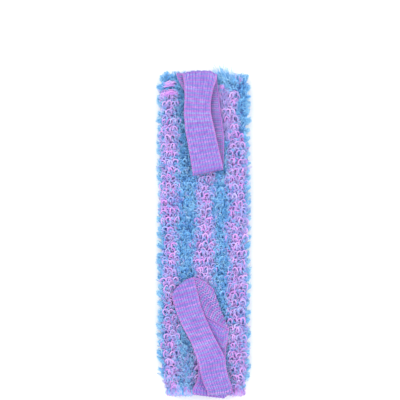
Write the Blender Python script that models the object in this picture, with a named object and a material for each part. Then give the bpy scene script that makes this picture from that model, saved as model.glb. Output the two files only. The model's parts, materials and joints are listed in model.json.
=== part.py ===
"""Knitted back scrubber: a flattened tube of looped pile with a strap handle folded over each end.

It lies flat on its back. X runs across the strip, Y along it, Z up out of the front face. The origin is
on the floor, under the middle of the strip. Lengths named here are in millimetres, and meshes are in
metres.
"""
import math

import bmesh
import bpy

MM = 0.001

# Driving dimensions of the strip
ROW_PITCH = 10.65           # from one row of pile loops to the next
LOWER_ROWS = 15
MIDDLE_ROWS = 10
UPPER_ROWS = 13
ROWS = LOWER_ROWS + MIDDLE_ROWS + UPPER_ROWS
HALF_LENGTH = ROWS * ROW_PITCH / 2
HALF_WIDTH = 61.5           # to the tips of the edge fringe
PILE_HEIGHT = 9.0
SLEEVE_HEIGHT = 3.0         # the flattened tube, both walls
SLEEVE_WALL = 1.2
CLEARANCE = 0.3             # between touching pieces

# Heights of the layers, from the floor up
BACK_PILE_TOP = PILE_HEIGHT
SLEEVE_BOTTOM = BACK_PILE_TOP + CLEARANCE
SLEEVE_TOP = SLEEVE_BOTTOM + SLEEVE_HEIGHT
FRONT_PILE_BOTTOM = SLEEVE_TOP + CLEARANCE
FRONT_PILE_TOP = FRONT_PILE_BOTTOM + PILE_HEIGHT
SLEEVE_MIDDLE = (SLEEVE_BOTTOM + SLEEVE_TOP) / 2

# Pile columns across the strip: name, colour, left side, right side
COLUMNS = (
    ("pink_left", "pink", -54.0, -33.0),
    ("blue_left", "blue", -33.0, -12.6),
    ("pink_middle", "pink", -12.6, 13.8),
    ("blue_right", "blue", 13.8, 30.0),
    ("pink_right", "pink", 30.0, 55.2),
)
FRINGE_BOTTOM = 4.5
FRINGE_TOP = 16.5
FRINGE_SPINE = 1.6          # solid width along the pile before the fringe parts into lobes
LOBE_TIP = 0.55             # share of the row pitch at which each lobe's tip lies

# A pile row is a ridge: these are the shares of the pitch that its flat crest takes
FRONT_CREST = 0.25
BACK_CREST = 0.7
VALLEY_HEIGHT = 1.2         # pile left between two rows

# The strip bends along two lines. Each side stands back from the line so that it can fold 45 degrees
BEND_SETBACK = 0.7
FRINGE_SETBACK = 2.4
BEND_HEIGHT = SLEEVE_TOP

# Corner rounding at the two ends: how far each side comes in, and over what length
CORNERS = {
    ("top", "left"): (8.0, 24.0),
    ("top", "right"): (8.0, 24.0),
    ("bottom", "left"): (18.0, 40.0),
    ("bottom", "right"): (11.0, 28.0),
}
CORNER_SHARE = 0.95         # where the rounding stops short of the end, which stays blunt

# Section of the flattened tube: how far its bevelled sides and its hollow stand in from its edge
SLEEVE_BEVEL = 1.2
HOLLOW_TIP = 2.4
HOLLOW_SHOULDER = 3.2

# Hem that closes the tube at each end
HEM_DEPTH = 3.4
HEM_HALF_WIDTH = 42.0
HEM_END = 3.0               # length over which each end of the hem tapers
HEM_END_SHARE = 0.55        # its thickness there, as a share of the full one
HEM_TURNS = 24              # turns of the zigzag stitching
HEM_STITCH_REACH = 0.9      # how far the stitches go above and below the tube's middle
HEM_STITCH_GAP = 0.2        # between the hem's face and its stitches
STITCH_WIDTH = 0.9
STITCH_THICKNESS = 0.5

# Handles: a strap of two layers that rises from the end seam, folds over and lies on the pile
STRAP = 2.6                 # thickness of one layer
SELVAGE = 0.8               # bevel along a layer's edges
TAB_RADIUS = 2.8            # half the thickness of the two layers held together
SEAM_Y = HALF_LENGTH + TAB_RADIUS + 1.1
LOWER_LEG = FRONT_PILE_TOP + 0.4
FINGER_GAP = 6.0
UPPER_LEG = LOWER_LEG + STRAP + FINGER_GAP
FOLD_HEIGHT = (LOWER_LEG + UPPER_LEG + STRAP) / 2
ROOT_Y = SEAM_Y - TAB_RADIUS - 0.6
UPPER_ROOT = FOLD_HEIGHT + CLEARANCE / 2
LOWER_ROOT = FOLD_HEIGHT - CLEARANCE / 2 - STRAP
TOP_TAB = (-34.6, 16.4)
BOTTOM_TAB = (-15.4, 37.6)
TOP_FOLD_Y = 85.0           # centre of the top handle's folded end
TOP_FOLD = (-15.2, 24.4)    # its left and right sides
FOLD_SQUEEZE = 0.6          # how far the sides draw in round the fold
FOLD_STEPS = 10
TAB_STEPS = 8               # flat faces round each of the tab's two rounded ends
TAB_TURNS = 14
TAB_MARGIN = 5.0            # from the tab's sides to the ends of its stitching
TAB_STITCHES = (SLEEVE_MIDDLE + 4.0, SLEEVE_MIDDLE + 9.0)
TAB_STITCH_GAP = 0.1

# Where the strap's sides run, from the root to its end: y, left x, right x, underside
TOP_UPPER_LEG = (
    (ROOT_Y, TOP_TAB[0], 6.0, UPPER_ROOT),
    (192.0, -29.5, 6.4, UPPER_LEG),
    (183.0, -24.4, 7.0, UPPER_LEG),
    (154.0, -25.2, 9.0, UPPER_LEG),
    (130.0, -22.8, 14.0, UPPER_LEG),
    (110.0, -18.8, 18.0, UPPER_LEG),
    (TOP_FOLD_Y + CLEARANCE, *TOP_FOLD, UPPER_LEG),
)
TOP_LOWER_LEG = (
    (ROOT_Y, -24.0, TOP_TAB[1], LOWER_ROOT),
    (192.0, -20.0, 17.4, LOWER_LEG),
    (154.0, -16.0, 20.9, LOWER_LEG),
    (124.0, -12.5, 25.8, LOWER_LEG),
    (105.0, -12.5, 25.8, LOWER_LEG),
    (TOP_FOLD_Y + CLEARANCE, *TOP_FOLD, LOWER_LEG),
)
BOTTOM_FRONT_LEG = (
    (-ROOT_Y, *BOTTOM_TAB, UPPER_ROOT),
    (-192.0, -11.1, 34.0, UPPER_LEG),
    (-177.0, -8.6, 30.0, UPPER_LEG),
    (-164.0, -5.5, 28.2, UPPER_LEG),
    (-155.0, -9.0, 26.4, UPPER_LEG),
    (-138.0, -15.5, 17.0, UPPER_LEG),
    (-112.0, -29.2, 4.0, UPPER_LEG),
    (-92.0, -36.4, -4.2, LOWER_LEG),
    (-77.0, -40.6, -9.0, LOWER_LEG),
)
BOTTOM_BACK_LEG = (
    (-ROOT_Y, -13.5, 36.4, LOWER_ROOT),
    (-192.0, -10.0, 33.5, LOWER_LEG),
    (-177.0, -7.0, 29.2, LOWER_LEG),
    (-157.0, -4.6, 28.5, LOWER_LEG),
    (-143.0, -3.0, 28.6, LOWER_LEG),
    (-121.6, 1.2, 32.4, LOWER_LEG),
    (-103.7, 1.4, 24.0, LOWER_LEG),
    (-92.0, -3.6, 20.0, LOWER_LEG),
    (-77.0, -8.6, 15.4, LOWER_LEG),
)
# Plan of the bottom handle's rounded end, from its left side round to its right side
BOTTOM_END = (
    (-40.4, -76.7), (15.2, -76.7), (13.2, -71.7), (8.5, -66.6), (2.3, -62.7), (-4.5, -59.0),
    (-12.4, -56.0), (-20.1, -57.6), (-29.1, -62.7), (-36.4, -69.6),
)

COLOURS = {
    "pink": ((0.68, 0.22, 0.76), 0.85),
    "blue": ((0.08, 0.33, 0.72), 0.9),
    "sleeve": ((0.30, 0.20, 0.68), 0.9),
    "strap": ((0.44, 0.29, 0.80), 0.85),
    "thread": ((0.55, 0.28, 0.82), 0.7),
}


def clear_scene():
    for item in list(bpy.data.objects):
        bpy.data.objects.remove(item, do_unlink=True)


def make_material(name):
    colour, roughness = COLOURS[name]
    material = bpy.data.materials.new(name)
    material.use_nodes = True
    shader = material.node_tree.nodes["Principled BSDF"]
    shader.inputs["Base Color"].default_value = (*colour, 1.0)
    shader.inputs["Roughness"].default_value = roughness
    shader.inputs["Metallic"].default_value = 0.0
    return material


def row_line(index):
    """The y of the line before row index, counted from the bottom end."""
    return -HALF_LENGTH + index * ROW_PITCH


def corner_inset(y, side):
    """How far the strip's left or right side comes in at y, on an elliptical corner."""
    depth, length = CORNERS["top" if y > 0 else "bottom", side]
    share = (abs(y) - (HALF_LENGTH - length)) / length
    share = min(max(share, 0.0), CORNER_SHARE)
    return depth * (1 - math.sqrt(1 - share * share))


def side_inset(y, side):
    """corner_inset, straight from each row line to the next, so that neighbours meet on one line."""
    index = min(max(math.floor((y + HALF_LENGTH) / ROW_PITCH), 0), ROWS - 1)
    low, high = corner_inset(row_line(index), side), corner_inset(row_line(index + 1), side)
    share = (y - row_line(index)) / ROW_PITCH
    return low + (high - low) * share


def bridge_rings(bm, rings):
    """Skins a list of rings, each a loop of points in metres, and caps both ends."""
    loops = [[bm.verts.new(point) for point in ring] for ring in rings]
    count = len(loops[0])
    for first, second in zip(loops, loops[1:]):
        for i in range(count):
            j = (i + 1) % count
            bm.faces.new((first[i], first[j], second[j], second[i]))
    bm.faces.new(loops[0])
    bm.faces.new(loops[-1])


def finish_object(name, bm, colour, origin=(0.0, 0.0, 0.0), merge_flat=False):
    """Closes a mesh as one named object. Its points are in metres, measured from the strip's origin."""
    if merge_flat:
        bmesh.ops.dissolve_limit(
            bm, angle_limit=math.radians(0.2), verts=bm.verts, edges=bm.edges
        )
    bmesh.ops.recalc_face_normals(bm, faces=bm.faces)
    bmesh.ops.translate(bm, verts=bm.verts, vec=[-value for value in origin])
    mesh = bpy.data.meshes.new(name)
    bm.to_mesh(mesh)
    bm.free()
    mesh.materials.append(MATERIALS[colour])
    piece = bpy.data.objects.new(name, mesh)
    piece.location = origin
    bpy.context.collection.objects.link(piece)
    return piece


def segment_ends(first, last):
    """The y where a stretch of rows starts and stops, and whether each end is on a bend line."""
    return (row_line(first), row_line(last), first > 0, last < ROWS)


def ridge_stations(first, last, crest):
    """(y, height share) along a pile column: 0 in the valleys and 1 on the crests."""
    start, stop, bends_low, bends_high = segment_ends(first, last)
    low = start + (BEND_SETBACK if bends_low else 0.0)
    high = stop - (BEND_SETBACK if bends_high else 0.0)
    stations = [(low, 0.0)]
    for row in range(first, last):
        middle = row_line(row) + ROW_PITCH / 2
        half_crest = ROW_PITCH * crest / 2
        stations.append((middle - half_crest, 1.0))
        stations.append((middle + half_crest, 1.0))
        stations.append((min(row_line(row + 1), high), 0.0))
    return stations


def pile_column(column, face, part, first, last):
    """One column of pile on one face: a row of ridges, from the first row line to the last."""
    name, colour, left, right = column
    crest = FRONT_CREST if face == "front" else BACK_CREST
    bm = bmesh.new()
    rings = []
    for y, share in ridge_stations(first, last, crest):
        height = VALLEY_HEIGHT + (PILE_HEIGHT - VALLEY_HEIGHT) * share
        if face == "front":
            low, high = FRONT_PILE_BOTTOM, FRONT_PILE_BOTTOM + height
        else:
            low, high = BACK_PILE_TOP - height, BACK_PILE_TOP
        x_left = left + (side_inset(y, "left") if name == "pink_left" else CLEARANCE)
        x_right = right - (side_inset(y, "right") if name == "pink_right" else 0.0)
        corners = ((x_left, low), (x_right, low), (x_right, high), (x_left, high))
        rings.append([(x * MM, y * MM, z * MM) for x, z in corners])
    bridge_rings(bm, rings)
    finish_object(f"{name}_pile_{face}_{part}", bm, colour, merge_flat=True)


def edge_fringe(side, part, first, last):
    """Loops that stick out along one edge: a spine with a pointed lobe for each row."""
    start, stop, bends_low, bends_high = segment_ends(first, last)
    low = start + (FRINGE_SETBACK if bends_low else 0.0)
    high = stop - (FRINGE_SETBACK if bends_high else 0.0)
    sign = -1 if side == "left" else 1
    inner = abs(COLUMNS[0][2]) if side == "left" else COLUMNS[-1][3]
    inner += CLEARANCE
    tips, spine = [], []
    for row in range(first, last + 1):
        y = min(max(row_line(row), low), high)
        inset = side_inset(y, side)
        spine.append((sign * (inner - inset), y))
        tips.append((sign * (inner + FRINGE_SPINE - inset), y))
        if row < last:
            tip = row_line(row) + ROW_PITCH * LOBE_TIP
            tips.append((sign * (HALF_WIDTH - side_inset(tip, side)), tip))
    outline = tips + spine[::-1]
    bm = bmesh.new()
    rings = []
    for z in (FRINGE_BOTTOM, FRINGE_TOP):
        rings.append([(x * MM, y * MM, z * MM) for x, y in outline])
    bridge_rings(bm, rings)
    finish_object(f"edge_fringe_{side}_{part}", bm, "blue")


def knitted_sleeve(part, first, last):
    """The flattened tube that the loops are knitted into, open from end to end."""
    start, stop, bends_low, bends_high = segment_ends(first, last)
    low = start + (CLEARANCE if bends_low else HEM_DEPTH + CLEARANCE)
    high = stop - (CLEARANCE if bends_high else HEM_DEPTH + CLEARANCE)
    stations = [low] + [row_line(r) for r in range(first, last + 1) if low < row_line(r) < high]
    stations.append(high)
    bm = bmesh.new()
    outer, inner = [], []
    for y in stations:
        left = COLUMNS[0][2] + side_inset(y, "left")
        right = COLUMNS[-1][3] - side_inset(y, "right")
        sides = (
            (left, SLEEVE_MIDDLE), (left + SLEEVE_BEVEL, SLEEVE_BOTTOM),
            (right - SLEEVE_BEVEL, SLEEVE_BOTTOM), (right, SLEEVE_MIDDLE),
            (right - SLEEVE_BEVEL, SLEEVE_TOP), (left + SLEEVE_BEVEL, SLEEVE_TOP),
        )
        slit = SLEEVE_HEIGHT / 2 - SLEEVE_WALL
        hollow = (
            (left + HOLLOW_TIP, SLEEVE_MIDDLE), (left + HOLLOW_SHOULDER, SLEEVE_MIDDLE - slit),
            (right - HOLLOW_SHOULDER, SLEEVE_MIDDLE - slit), (right - HOLLOW_TIP, SLEEVE_MIDDLE),
            (right - HOLLOW_SHOULDER, SLEEVE_MIDDLE + slit), (left + HOLLOW_SHOULDER, SLEEVE_MIDDLE + slit),
        )
        outer.append([bm.verts.new((x * MM, y * MM, z * MM)) for x, z in sides])
        inner.append([bm.verts.new((x * MM, y * MM, z * MM)) for x, z in hollow])
    for rings in (outer, inner):
        for first_ring, second_ring in zip(rings, rings[1:]):
            for i in range(6):
                j = (i + 1) % 6
                bm.faces.new((first_ring[i], first_ring[j], second_ring[j], second_ring[i]))
    for end in (0, -1):
        for i in range(6):
            j = (i + 1) % 6
            bm.faces.new((outer[end][i], outer[end][j], inner[end][j], inner[end][i]))
    finish_object(f"knitted_sleeve_{part}", bm, "sleeve", merge_flat=True)


def end_hem(end):
    """The rolled hem that closes the tube across one end."""
    sign = 1 if end == "top" else -1
    middle = sign * (HALF_LENGTH - HEM_DEPTH / 2)
    bm = bmesh.new()
    rings = []
    for x, share in (
        (-HEM_HALF_WIDTH, HEM_END_SHARE), (-HEM_HALF_WIDTH + HEM_END, 1.0),
        (HEM_HALF_WIDTH - HEM_END, 1.0), (HEM_HALF_WIDTH, HEM_END_SHARE),
    ):
        ring = []
        for corner in range(8):
            angle = math.radians(22.5 + 45 * corner)
            y = middle + math.cos(angle) * share * HEM_DEPTH / 2
            z = SLEEVE_MIDDLE + math.sin(angle) * share * SLEEVE_HEIGHT / 2
            ring.append((x * MM, y * MM, z * MM))
        rings.append(ring)
    bridge_rings(bm, rings)
    finish_object(f"{end}_hem", bm, "sleeve")


def zigzag_thread(name, span, heights, turns, face_y, origin=(0.0, 0.0, 0.0)):
    """A line of zigzag stitching on an end face: one thread that runs up and down between two heights."""
    left, right = span
    outward = math.copysign(STITCH_THICKNESS, face_y)
    upper, lower = [], []
    for turn in range(turns + 1):
        x = left + (right - left) * turn / turns
        z = heights[turn % 2]
        upper.append((x, z + STITCH_WIDTH / 2))
        lower.append((x, z - STITCH_WIDTH / 2))
    outline = upper + lower[::-1]
    bm = bmesh.new()
    rings = []
    for y in (face_y, face_y + outward):
        rings.append([(x * MM, y * MM, z * MM) for x, z in outline])
    bridge_rings(bm, rings)
    finish_object(name, bm, "thread", origin=origin)


def strap_ring(y, left, right, under):
    """The section of one strap layer, with its selvages bevelled."""
    over = under + STRAP
    corners = (
        (left, under + SELVAGE), (left + SELVAGE, under),
        (right - SELVAGE, under), (right, under + SELVAGE),
        (right, over - SELVAGE), (right - SELVAGE, over),
        (left + SELVAGE, over), (left, over - SELVAGE),
    )
    return [(x * MM, y * MM, z * MM) for x, z in corners]


def strap_leg(name, sections, hinge):
    """One layer of a handle, from its root at the fold line to its free end."""
    bm = bmesh.new()
    bridge_rings(bm, [strap_ring(*section) for section in sections])
    finish_object(name, bm, "strap", origin=hinge, merge_flat=True)


def top_handle_fold(hinge):
    """The top handle's folded end: the strap turns back on itself in a half circle."""
    outer = (UPPER_LEG + STRAP - LOWER_LEG) / 2
    inner = outer - STRAP
    bm = bmesh.new()
    rings = []
    for step in range(FOLD_STEPS + 1):
        angle = math.pi * step / FOLD_STEPS
        squeeze = FOLD_SQUEEZE * math.sin(angle)
        left, right = TOP_FOLD[0] + squeeze, TOP_FOLD[1] - squeeze
        ring = []
        for x, radius in (
            (left, inner + SELVAGE), (left + SELVAGE, inner),
            (right - SELVAGE, inner), (right, inner + SELVAGE),
            (right, outer - SELVAGE), (right - SELVAGE, outer),
            (left + SELVAGE, outer), (left, outer - SELVAGE),
        ):
            y = TOP_FOLD_Y - math.sin(angle) * radius
            z = FOLD_HEIGHT + math.cos(angle) * radius
            ring.append((x * MM, y * MM, z * MM))
        rings.append(ring)
    bridge_rings(bm, rings)
    finish_object("top_handle_fold", bm, "strap", origin=hinge)


def bottom_handle_fold(hinge):
    """The bottom handle's rounded end, where the strap turns in its own plane."""
    bm = bmesh.new()
    rings = []
    for z in (LOWER_LEG, LOWER_LEG + STRAP):
        rings.append([(x * MM, y * MM, z * MM) for x, y in BOTTOM_END])
    bridge_rings(bm, rings)
    finish_object("bottom_handle_fold", bm, "strap", origin=hinge)


def handle_tab(end, span, hinge):
    """The two strap layers together, from the end seam up to the line where they fold over."""
    sign = 1 if end == "top" else -1
    left, right = span
    outline = []
    for centre, start in ((SLEEVE_MIDDLE, math.pi), (FOLD_HEIGHT, 0.0)):
        for step in range(TAB_STEPS + 1):
            angle = start + math.pi * step / TAB_STEPS
            y = SEAM_Y + math.cos(angle) * TAB_RADIUS
            outline.append((sign * y, centre + math.sin(angle) * TAB_RADIUS))
    bm = bmesh.new()
    rings = []
    for x in (left, right):
        rings.append([(x * MM, y * MM, z * MM) for y, z in outline])
    bridge_rings(bm, rings)
    finish_object(f"{end}_handle_tab", bm, "strap", origin=hinge)


clear_scene()
MATERIALS = {name: make_material(name) for name in COLOURS}

PARTS = (
    ("lower", 0, LOWER_ROWS),
    ("middle", LOWER_ROWS, LOWER_ROWS + MIDDLE_ROWS),
    ("upper", LOWER_ROWS + MIDDLE_ROWS, ROWS),
)
for part, first, last in PARTS:
    knitted_sleeve(part, first, last)
    for column in COLUMNS:
        for face in ("front", "back"):
            pile_column(column, face, part, first, last)
    for side in ("left", "right"):
        edge_fringe(side, part, first, last)

for end, sign in (("top", 1), ("bottom", -1)):
    end_hem(end)
    zigzag_thread(
        f"{end}_hem_stitches", (-HEM_HALF_WIDTH + HEM_END, HEM_HALF_WIDTH - HEM_END),
        (SLEEVE_MIDDLE - HEM_STITCH_REACH, SLEEVE_MIDDLE + HEM_STITCH_REACH), HEM_TURNS,
        sign * (HALF_LENGTH + HEM_STITCH_GAP),
    )

top_seam = (0.0, SEAM_Y * MM, SLEEVE_MIDDLE * MM)
top_line = (0.0, SEAM_Y * MM, FOLD_HEIGHT * MM)
bottom_seam = (0.0, -SEAM_Y * MM, SLEEVE_MIDDLE * MM)
bottom_line = (0.0, -SEAM_Y * MM, FOLD_HEIGHT * MM)
handle_tab("top", TOP_TAB, top_seam)
handle_tab("bottom", BOTTOM_TAB, bottom_seam)
for end, (left, right), hinge in (("top", TOP_TAB, top_seam), ("bottom", BOTTOM_TAB, bottom_seam)):
    zigzag_thread(
        f"{end}_tab_stitches", (left + TAB_MARGIN, right - TAB_MARGIN), TAB_STITCHES, TAB_TURNS,
        math.copysign(SEAM_Y + TAB_RADIUS + TAB_STITCH_GAP, hinge[1]), origin=hinge,
    )
strap_leg("top_handle_upper_leg", TOP_UPPER_LEG, top_line)
strap_leg("top_handle_lower_leg", TOP_LOWER_LEG, top_line)
top_handle_fold(top_line)
strap_leg("bottom_handle_front_leg", BOTTOM_FRONT_LEG, bottom_line)
strap_leg("bottom_handle_back_leg", BOTTOM_BACK_LEG, bottom_line)
bottom_handle_fold(bottom_line)
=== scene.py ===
"""Looks for the knitted back scrubber: looped pile, edge fringes and two-yarn knitted strap handles.

The CAD frame gives every place. Lengths named here are in millimetres unless a name says otherwise, in the
frame's own axes: X across the strip, Y along it towards the top handle, Z up out of its front face.
"""
import json
import math

import bpy
import numpy as np
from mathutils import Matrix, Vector


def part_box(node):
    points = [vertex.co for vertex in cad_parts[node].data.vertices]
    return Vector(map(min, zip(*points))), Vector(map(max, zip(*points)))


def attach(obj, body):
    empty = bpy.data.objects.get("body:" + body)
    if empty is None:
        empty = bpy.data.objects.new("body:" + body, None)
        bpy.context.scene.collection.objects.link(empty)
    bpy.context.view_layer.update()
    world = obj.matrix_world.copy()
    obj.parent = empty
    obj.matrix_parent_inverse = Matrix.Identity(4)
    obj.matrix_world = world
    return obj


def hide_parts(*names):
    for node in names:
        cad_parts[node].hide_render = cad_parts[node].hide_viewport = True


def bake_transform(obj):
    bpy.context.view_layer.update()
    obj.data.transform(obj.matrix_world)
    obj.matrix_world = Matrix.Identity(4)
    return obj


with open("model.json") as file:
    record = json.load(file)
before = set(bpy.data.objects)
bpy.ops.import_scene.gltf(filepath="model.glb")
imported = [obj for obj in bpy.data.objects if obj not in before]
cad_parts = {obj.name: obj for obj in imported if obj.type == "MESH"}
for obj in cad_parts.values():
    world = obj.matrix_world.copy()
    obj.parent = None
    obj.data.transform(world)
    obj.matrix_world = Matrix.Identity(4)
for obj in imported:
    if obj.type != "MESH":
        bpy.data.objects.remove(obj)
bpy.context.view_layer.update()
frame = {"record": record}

MM = 0.001
TURN = 2 * math.pi
UPWARD = np.array([0.0, 0.0, 1.0])


# ---- places, read from the frame

def span(node):
    """A CAD node's lowest and highest corners, in millimetres."""
    low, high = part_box(node)
    return np.array(low) / MM, np.array(high) / MM


COLUMNS = ("pink_left", "blue_left", "pink_middle", "blue_right", "pink_right")
COLUMN_SPANS = {}
for column in COLUMNS:
    low, high = span(f"{column}_pile_front_middle")
    COLUMN_SPANS[column] = (low[0], high[0])
sleeve_low, sleeve_high = span("knitted_sleeve_middle")
SLEEVE_BOTTOM, SLEEVE_TOP = sleeve_low[2], sleeve_high[2]
SLEEVE_MIDDLE = (SLEEVE_BOTTOM + SLEEVE_TOP) / 2
SLEEVE_HALF = (SLEEVE_TOP - SLEEVE_BOTTOM) / 2
PILE_HEIGHT = span("pink_middle_pile_front_middle")[1][2] - SLEEVE_TOP
HALF_WIDTH = span("edge_fringe_right_middle")[1][0]
HALF_LENGTH = span("pink_middle_pile_front_upper")[1][1]
ROWS = 38                    # rows of loops from end to end
ROW_PITCH = 2 * HALF_LENGTH / ROWS
HEM_LOW, HEM_HIGH = span("top_hem")

JOINTS = {joint["name"]: joint for joint in frame["record"]["behaviour"]["joints"]}
SEAM_Y = JOINTS["top_seam_turn"]["pos_m"][1] / MM
SEAM_Z = JOINTS["top_seam_turn"]["pos_m"][2] / MM
FOLD_Z = JOINTS["top_handle_turn"]["pos_m"][2] / MM
HALF_STRAP = 1.3             # half of a knitted strap's thickness
UPPER_LEG_Z = span("top_handle_fold")[1][2] - HALF_STRAP
LOWER_LEG_Z = span("top_handle_fold")[0][2] + HALF_STRAP
TAB_SPLIT_Z = (SEAM_Z + FOLD_Z) / 2
LOWEST_YARN = 0.9            # yarn at the strip's edges stays above the floor,
FRINGE_TOP = 20.8            # the fringes stay below this height
HANGING_TOP = 20.5           # and the loops over the bottom hem below this one
STRIPS = {"top": "upper_strip", "bottom": "lower_strip"}

# Each corner's inset and length. The lower left one is the roundest
CORNERS = {(1, -1): (8.0, 24.0), (1, 1): (8.0, 24.0), (-1, -1): (18.0, 40.0), (-1, 1): (11.0, 28.0)}


def corner_inset(y, side):
    """How far the strip's side comes in at y, on an elliptical corner. side is -1 at the left and 1 at
    the right. y and side may be arrays."""
    y, side = np.broadcast_arrays(np.asarray(y, float), np.asarray(side, float))
    inset = np.zeros_like(y)
    for (end, corner_side), (depth, length) in CORNERS.items():
        share = np.clip((end * y - (HALF_LENGTH - length)) / length, 0.0, 0.97)
        there = (np.sign(y) == end) & (side == corner_side)
        inset = np.where(there, depth * (1 - np.sqrt(1 - share * share)), inset)
    return inset


# ---- camera, lights and floor

# All in metres. Each light has its name, place, size and power in watts
VIEW_WIDTH = 0.512           # how much of the floor the picture takes in
VIEW_CENTRE = (-0.0047, 0.0435)
CAMERA_HEIGHT = 2.0
LIGHTS = (
    ("key", (-0.9, 0.9, 1.5), 1.1, 18.0),
    ("fill", (1.1, 0.2, 1.4), 1.2, 12.0),
    ("front", (0.0, -1.3, 1.2), 1.2, 9.0),
)
FLOOR_REACH = 3.0
FLOOR_GAP = 0.0004


def set_inputs(node, values):
    for socket, value in values.items():
        node.inputs[socket].default_value = value


def add_node(tree, kind, values=None, **settings):
    """A new shader node with its settings and the values of its unlinked inputs."""
    node = tree.nodes.new(f"ShaderNode{kind}")
    for name, setting in settings.items():
        setattr(node, name, setting)
    set_inputs(node, values or {})
    return node


def make_camera():
    data = bpy.data.cameras.new("camera")
    camera = bpy.data.objects.new("camera", data)
    bpy.context.scene.collection.objects.link(camera)
    surface = UPPER_LEG_Z * MM * 0.5
    camera.location = (VIEW_CENTRE[0], VIEW_CENTRE[1], CAMERA_HEIGHT + surface)
    data.sensor_width = 36.0
    data.lens = data.sensor_width * CAMERA_HEIGHT / VIEW_WIDTH
    data.clip_start = 0.01
    data.clip_end = 20.0
    bpy.context.scene.camera = camera


def area_light(name, location, size, power):
    """A square light that faces the object's middle."""
    data = bpy.data.lights.new(name, "AREA")
    data.shape = "SQUARE"
    data.size = size
    data.energy = power
    light = bpy.data.objects.new(name, data)
    bpy.context.scene.collection.objects.link(light)
    light.location = location
    light.rotation_euler = (-Vector(location)).to_track_quat("-Z", "Y").to_euler()


def make_studio():
    """Three soft lights, a pale sky and a pale floor."""
    for light in LIGHTS:
        area_light(*light)
    world = bpy.data.worlds.new("studio")
    bpy.context.scene.world = world
    world.use_nodes = True
    set_inputs(world.node_tree.nodes["Background"], {"Color": (0.93, 0.96, 1.0, 1.0), "Strength": 1.02})
    bpy.context.scene.view_settings.view_transform = "Standard"

    mesh = bpy.data.meshes.new("floor")
    reach = FLOOR_REACH
    corners = [(-reach, -reach, 0.0), (reach, -reach, 0.0), (reach, reach, 0.0), (-reach, reach, 0.0)]
    mesh.from_pydata(corners, [], [(0, 1, 2, 3)])
    floor = bpy.data.objects.new("floor", mesh)
    floor.location = (0.0, 0.0, -FLOOR_GAP)
    bpy.context.scene.collection.objects.link(floor)
    material = bpy.data.materials.new("floor")
    material.use_nodes = True
    shader = material.node_tree.nodes["Principled BSDF"]
    set_inputs(shader, {"Base Color": (0.86, 0.86, 0.87, 1.0), "Roughness": 0.9})
    mesh.materials.append(material)


# ---- yarn materials

PATCH_SCALE = 45.0           # soft patches of shade for each metre,
PATCH_SHARE = 0.7            # and how far they move a strand's shade
FIBRE_SCALE = 900.0          # filaments for each metre,
FIBRE_DEPTH = 0.0002         # and their depth in metres


def linear(red, green, blue):
    """An sRGB colour, 0 to 255, as linear values."""
    shares = [value / 255 for value in (red, green, blue)]
    return tuple(s / 12.92 if s <= 0.04045 else ((s + 0.055) / 1.055) ** 2.4 for s in shares)


def yarn_material(name, dark, middle, light, root_shade, roughness, sheen):
    """Spun or ribbon yarn: each strand has its own shade from dark to light. Towards its root it turns to a
    painted shade colour, for the shade deep in the pile and between stitches, and fine filaments run through
    it."""
    dark, middle, light, root_shade = ((*linear(*colour), 1.0) for colour in (dark, middle, light, root_shade))
    material = bpy.data.materials.new(name)
    material.use_nodes = True
    tree = material.node_tree
    shader = tree.nodes["Principled BSDF"]
    set_inputs(shader, {
        "Roughness": roughness, "Sheen Weight": sheen, "Sheen Roughness": 0.4, "Sheen Tint": middle,
        "Base Color": middle})
    coords = add_node(tree, "TexCoord")
    tone = add_node(tree, "Attribute", attribute_name="tone")
    root_shade_node = add_node(tree, "Attribute", attribute_name="painted_root_shade")
    patch = add_node(tree, "TexNoise", {"Scale": PATCH_SCALE, "Detail": 2.0})
    centred = add_node(tree, "Math", {1: PATCH_SHARE, 2: -PATCH_SHARE / 2}, operation="MULTIPLY_ADD")
    shade = add_node(tree, "Math", operation="ADD", use_clamp=True)
    ramp = add_node(tree, "ValToRGB")
    ramp.color_ramp.elements[0].color = dark
    ramp.color_ramp.elements[1].color = light
    ramp.color_ramp.elements.new(0.5).color = middle
    blend = add_node(tree, "Mix", {"B": root_shade}, data_type="RGBA")
    fibres = add_node(tree, "TexNoise", {"Scale": FIBRE_SCALE, "Detail": 3.0})
    bump = add_node(tree, "Bump", {"Strength": 0.35, "Distance": FIBRE_DEPTH})
    for source, output, target, socket in (
        (coords, "Object", patch, "Vector"),
        (patch, "Fac", centred, 0),
        (tone, "Fac", shade, 0),
        (centred, 0, shade, 1),
        (shade, 0, ramp, "Fac"),
        (root_shade_node, "Fac", blend, "Factor"),
        (ramp, "Color", blend, "A"),
        (blend, "Result", shader, "Base Color"),
        (coords, "Object", fibres, "Vector"),
        (fibres, "Fac", bump, "Height"),
        (bump, "Normal", shader, "Normal"),
    ):
        tree.links.new(source.outputs[output], target.inputs[socket])
    return material
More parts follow.
